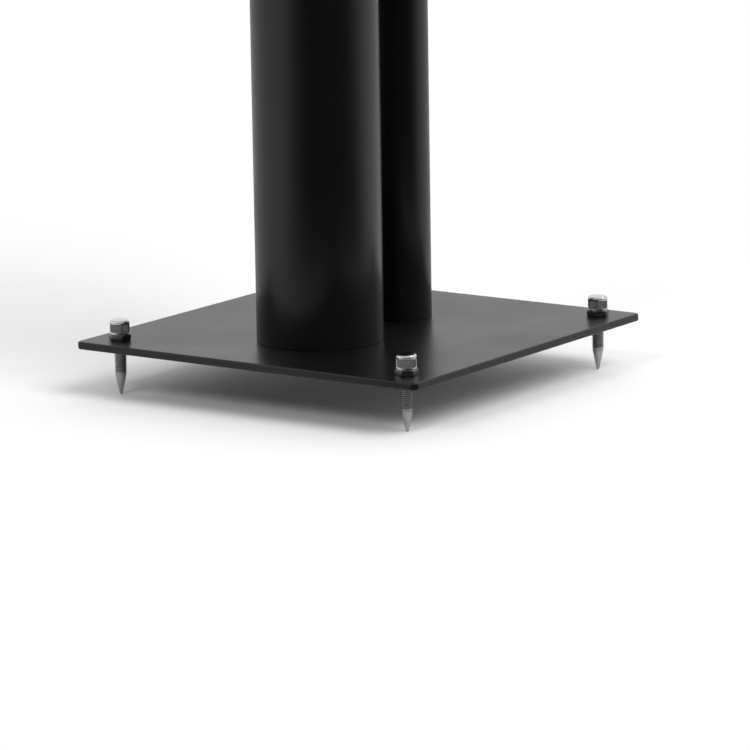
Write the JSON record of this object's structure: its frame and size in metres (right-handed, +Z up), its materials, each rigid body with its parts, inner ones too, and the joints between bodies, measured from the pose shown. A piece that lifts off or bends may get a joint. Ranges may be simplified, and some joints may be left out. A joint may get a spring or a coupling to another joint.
{
  "type": "speaker stand",
  "caption": "Two-column steel loudspeaker stand: a square base plate on adjustable knurled spikes, a thick front tube, a slim rear cable tube and a padded top plate.",
  "frame": {"origin": "on the floor under the middle of the base plate, level with the spike tips", "axes": "+Z up, front (the thick column's side) at -Y, +X to the right seen from the front"},
  "size_m": [0.265, 0.265, 0.604],
  "materials": {
    "black_powder_coat": "satin",
    "bare_steel": "mill",
    "black_oxide_steel": "satin",
    "nickel_plated_steel": "bright",
    "black_rubber": "matte"
  },
  "bodies": {
    "stand": {"base_plate": "black_powder_coat", "top_plate": "black_powder_coat", "front_column": "black_powder_coat", "front_column_discs": "bare_steel", "rear_column": "black_powder_coat", "rear_column_discs": "bare_steel", "column_screws": "black_oxide_steel", "speaker_pads": "black_rubber", "cable_grommets": "black_rubber"},
    "spike_front_left": {"spike_front_left": "nickel_plated_steel"},
    "head_front_left": {"spike_head_front_left": "nickel_plated_steel"},
    "nut_front_left": {"lock_nut_front_left": "nickel_plated_steel"},
    "spike_front_right": {"spike_front_right": "nickel_plated_steel"},
    "head_front_right": {"spike_head_front_right": "nickel_plated_steel"},
    "nut_front_right": {"lock_nut_front_right": "nickel_plated_steel"},
    "spike_rear_right": {"spike_rear_right": "nickel_plated_steel"},
    "head_rear_right": {"spike_head_rear_right": "nickel_plated_steel"},
    "nut_rear_right": {"lock_nut_rear_right": "nickel_plated_steel"},
    "spike_rear_left": {"spike_rear_left": "nickel_plated_steel"},
    "head_rear_left": {"spike_head_rear_left": "nickel_plated_steel"},
    "nut_rear_left": {"lock_nut_rear_left": "nickel_plated_steel"}
  },
  "joints": [
    {"name": "spike_travel_front_left", "type": "slide", "parent": "stand", "child": "spike_front_left", "axis": [0, 0, 1], "range_m": [0, 0.015]},
    {"name": "head_turn_front_left", "type": "hinge", "parent": "spike_front_left", "child": "head_front_left", "pos_m": [-0.112, -0.112, 0.044], "axis": [0, 0, 1], "range_deg": [0, 4320]},
    {"name": "nut_turn_front_left", "type": "hinge", "parent": "stand", "child": "nut_front_left", "pos_m": [-0.112, -0.112, 0.038], "axis": [0, 0, 1], "continuous": true},
    {"name": "spike_travel_front_right", "type": "slide", "parent": "stand", "child": "spike_front_right", "axis": [0, 0, 1], "range_m": [0, 0.015]},
    {"name": "head_turn_front_right", "type": "hinge", "parent": "spike_front_right", "child": "head_front_right", "pos_m": [0.112, -0.112, 0.044], "axis": [0, 0, 1], "range_deg": [0, 4320]},
    {"name": "nut_turn_front_right", "type": "hinge", "parent": "stand", "child": "nut_front_right", "pos_m": [0.112, -0.112, 0.038], "axis": [0, 0, 1], "continuous": true},
    {"name": "spike_travel_rear_right", "type": "slide", "parent": "stand", "child": "spike_rear_right", "axis": [0, 0, 1], "range_m": [0, 0.015]},
    {"name": "head_turn_rear_right", "type": "hinge", "parent": "spike_rear_right", "child": "head_rear_right", "pos_m": [0.112, 0.112, 0.044], "axis": [0, 0, 1], "range_deg": [0, 4320]},
    {"name": "nut_turn_rear_right", "type": "hinge", "parent": "stand", "child": "nut_rear_right", "pos_m": [0.112, 0.112, 0.038], "axis": [0, 0, 1], "continuous": true},
    {"name": "spike_travel_rear_left", "type": "slide", "parent": "stand", "child": "spike_rear_left", "axis": [0, 0, 1], "range_m": [0, 0.015]},
    {"name": "head_turn_rear_left", "type": "hinge", "parent": "spike_rear_left", "child": "head_rear_left", "pos_m": [-0.112, 0.112, 0.044], "axis": [0, 0, 1], "range_deg": [0, 4320]},
    {"name": "nut_turn_rear_left", "type": "hinge", "parent": "stand", "child": "nut_rear_left", "pos_m": [-0.112, 0.112, 0.038], "axis": [0, 0, 1], "continuous": true}
  ],
  "couplings": [
    {"joint": "head_turn_front_left", "follows": "spike_travel_front_left", "rad_per_m": 5026.5},
    {"joint": "head_turn_front_right", "follows": "spike_travel_front_right", "rad_per_m": 5026.5},
    {"joint": "head_turn_rear_right", "follows": "spike_travel_rear_right", "rad_per_m": 5026.5},
    {"joint": "head_turn_rear_left", "follows": "spike_travel_rear_left", "rad_per_m": 5026.5}
  ]
}
